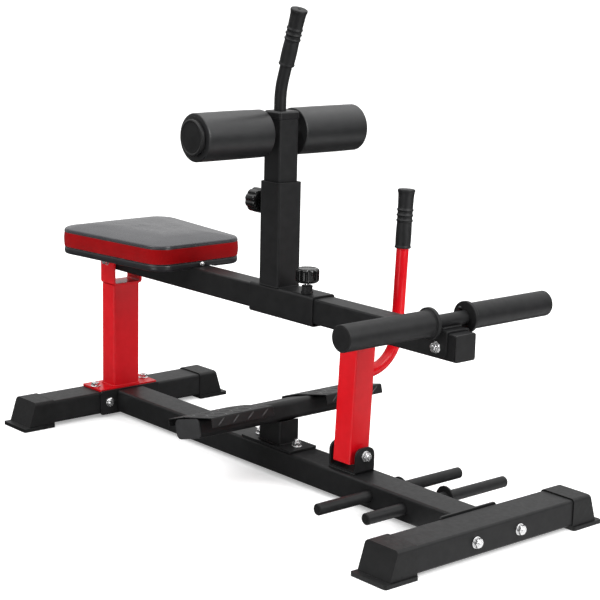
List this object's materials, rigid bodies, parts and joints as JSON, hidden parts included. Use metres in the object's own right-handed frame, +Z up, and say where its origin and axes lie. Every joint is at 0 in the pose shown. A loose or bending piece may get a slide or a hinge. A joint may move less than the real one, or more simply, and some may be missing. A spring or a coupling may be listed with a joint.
{
  "type": "plate loaded seated calf machine",
  "caption": "Low steel frame with a padded seat on a pivoting weight lever, foam thigh rollers on an adjustable post, a foot rest and a swinging lever support.",
  "frame": {"origin": "middle of the base's footprint, on the floor", "axes": "+X from the seat end to the weight end, +Z up, +Y to the sitting user's left"},
  "size_m": [1.2352, 0.5532, 0.9284],
  "materials": {
    "black_powder_coat": "fine-texture satin black powder coat",
    "red_powder_coat": "gloss red powder coat",
    "rubber_black": "matte charcoal rubber",
    "foam_black": "soft closed-cell foam, matte",
    "plastic_black": "moulded black plastic",
    "zinc": "bright zinc plate",
    "vinyl_black": "grained black upholstery vinyl with a red side band",
    "board_black": "plywood board under black fabric"
  },
  "bodies": {
    "base": {"main_beam": "black_powder_coat", "crossbar_rear": "black_powder_coat", "crossbar_front": "black_powder_coat", "end_plate_rear": "black_powder_coat", "end_plate_front": "black_powder_coat", "foot_cap_rear_left": "rubber_black", "foot_cap_rear_right": "rubber_black", "foot_cap_front_left": "rubber_black", "foot_cap_front_right": "rubber_black", "crossbar_bolt_rear_left": "zinc", "crossbar_bolt_rear_right": "zinc", "crossbar_bolt_front_left": "zinc", "crossbar_bolt_front_right": "zinc", "rear_upright": "red_powder_coat", "upright_bolt_left": "zinc", "upright_bolt_right": "zinc", "pivot_bracket": "red_powder_coat", "lever_pivot_bolt": "zinc", "support_clevis": "black_powder_coat", "support_pivot_bolt": "zinc", "foot_post": "black_powder_coat", "foot_bolt_rear": "zinc", "foot_bolt_front": "zinc", "foot_tube": "black_powder_coat", "foot_tube_cap_left": "plastic_black", "foot_tube_cap_right": "plastic_black", "foot_plate_left": "black_powder_coat", "foot_plate_right": "black_powder_coat"},
    "lever": {"lever": "black_powder_coat", "lever_end_cap": "plastic_black", "seat_board": "board_black", "seat_cushion": "vinyl_black", "seat_front_screw": "zinc", "horn_saddle": "black_powder_coat", "saddle_bolt": "zinc", "horn_tube": "black_powder_coat", "weight_sleeve_left": "black_powder_coat", "weight_sleeve_right": "black_powder_coat"},
    "carriage": {"carriage": "black_powder_coat", "pad_sleeve": "black_powder_coat", "carriage_pin_barrel": "black_powder_coat", "pad_pin_barrel": "black_powder_coat"},
    "carriage_pin": {"carriage_pin": "zinc", "carriage_pin_knob": "plastic_black"},
    "pad_pin": {"pad_pin": "zinc", "pad_pin_knob": "plastic_black"},
    "pad_post": {"pad_post": "black_powder_coat", "pad_post_cap": "plastic_black", "roller_axle": "zinc", "pad_handle": "black_powder_coat", "pad_handle_grip": "rubber_black"},
    "roller_left": {"roller_left": "foam_black", "roller_plug_left": "plastic_black"},
    "roller_right": {"roller_right": "foam_black", "roller_plug_right": "plastic_black"},
    "support": {"support_post": "red_powder_coat", "support_handle": "red_powder_coat", "support_grip": "rubber_black"},
    "storage_rod_rear": {"storage_rod_rear": "black_powder_coat"},
    "storage_rod_front": {"storage_rod_front": "black_powder_coat"}
  },
  "joints": [
    {"name": "lever_pivot", "type": "hinge", "parent": "base", "child": "lever", "pos_m": [-0.562, 0, 0.351], "axis": [0, -1, 0], "range_deg": [0, 12]},
    {"name": "carriage_slide", "type": "slide", "parent": "lever", "child": "carriage", "axis": [1, 0, 0], "range_m": [-0.135, 0]},
    {"name": "carriage_pin_pull", "type": "slide", "parent": "carriage", "child": "carriage_pin", "axis": [0, 0, 1], "range_m": [0, 0.008], "stiffness_N_per_m": 900},
    {"name": "pad_pin_pull", "type": "slide", "parent": "carriage", "child": "pad_pin", "axis": [-1, 0, 0], "range_m": [0, 0.008], "stiffness_N_per_m": 900},
    {"name": "pad_height", "type": "slide", "parent": "carriage", "child": "pad_post", "axis": [0, 0, 1], "range_m": [-0.04, 0.08]},
    {"name": "roller_left_spin", "type": "hinge", "parent": "pad_post", "child": "roller_left", "pos_m": [-0.021, 0.12, 0.684], "axis": [0, 1, 0], "continuous": true},
    {"name": "roller_right_spin", "type": "hinge", "parent": "pad_post", "child": "roller_right", "pos_m": [-0.021, -0.12, 0.684], "axis": [0, 1, 0], "continuous": true},
    {"name": "support_swing", "type": "hinge", "parent": "base", "child": "support", "pos_m": [0.2174, 0, 0.0925], "axis": [-1, 0, 0], "range_deg": [0, 22]},
    {"name": "storage_rod_rear_slide", "type": "slide", "parent": "base", "child": "storage_rod_rear", "axis": [0, 1, 0], "range_m": [-0.008, 0.09]},
    {"name": "storage_rod_front_slide", "type": "slide", "parent": "base", "child": "storage_rod_front", "axis": [0, 1, 0], "range_m": [-0.037, 0.06]}
  ]
}
